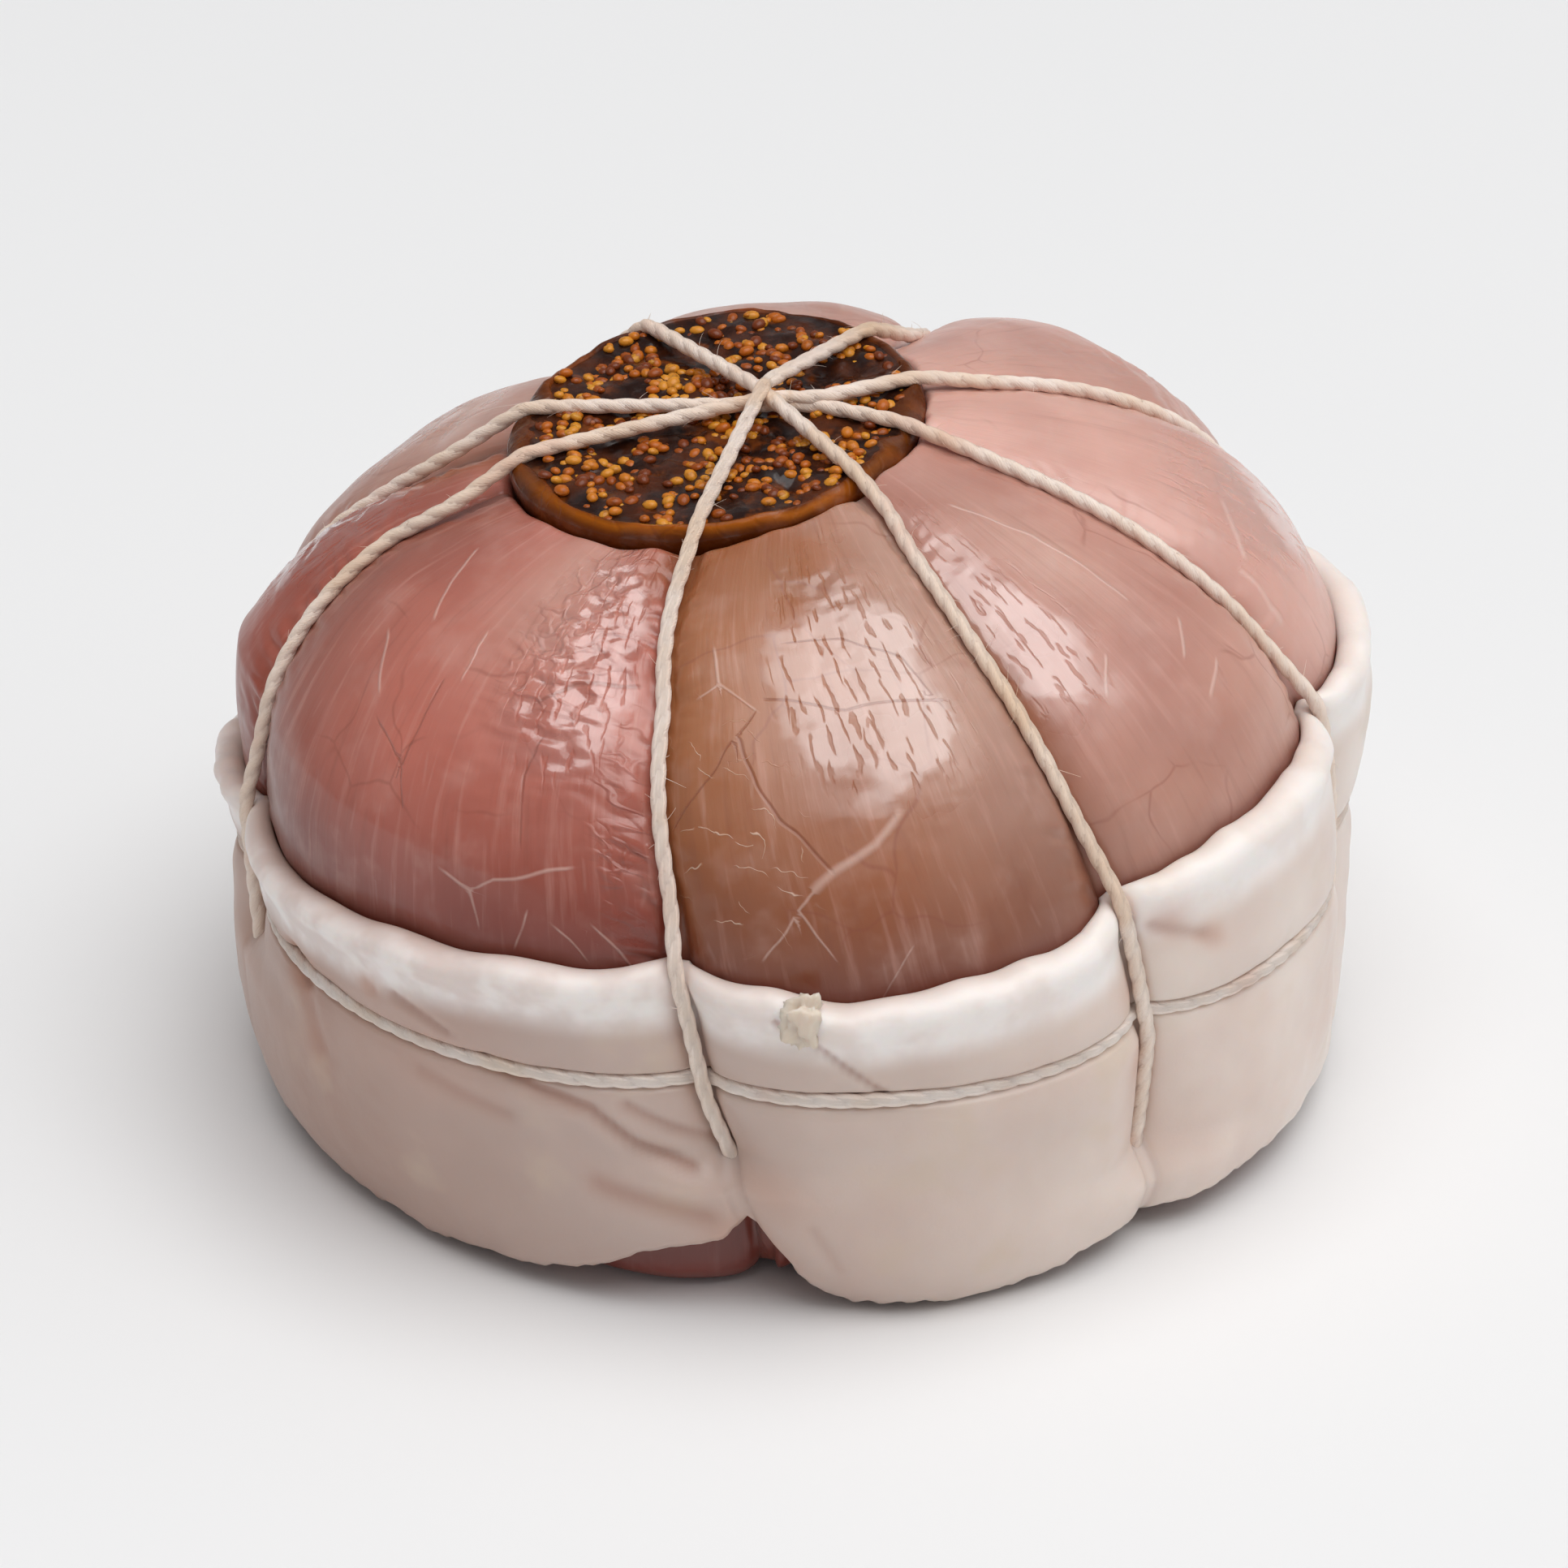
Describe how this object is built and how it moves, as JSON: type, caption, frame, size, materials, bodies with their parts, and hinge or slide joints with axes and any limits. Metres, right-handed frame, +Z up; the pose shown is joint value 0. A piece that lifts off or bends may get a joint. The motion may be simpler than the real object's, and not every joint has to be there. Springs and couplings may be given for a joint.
{
  "type": "veal paupiette",
  "caption": "Rolled veal parcel with a flat base and a lobed dome, belted with barding fat, topped with half a dried fig and tied with kitchen string",
  "frame": {"origin": "centre of the overall box at the level of the flat base", "axes": "+Z up through the fig, -Y to the front where the picture is taken from, +X to the right seen from the front"},
  "size_m": [0.086, 0.0852, 0.0554],
  "materials": {
    "veal": "wet raw veal under a thin glossy silverskin, salmon pink to tan, with pale connective streaks",
    "barding_fat": "pale pinkish white pork fat with a satin surface, fine creases and a soft rim",
    "dried_fig": "amber brown fig skin round dark sticky pulp with golden seeds",
    "string": "two-ply cream cotton kitchen string, slightly fuzzy, stained with meat juice"
  },
  "bodies": {
    "root": {"veal": "veal", "fat_band": "barding_fat", "fig_half": "dried_fig", "crossed_string": "string", "girth_string": "string"}
  },
  "joints": []
}
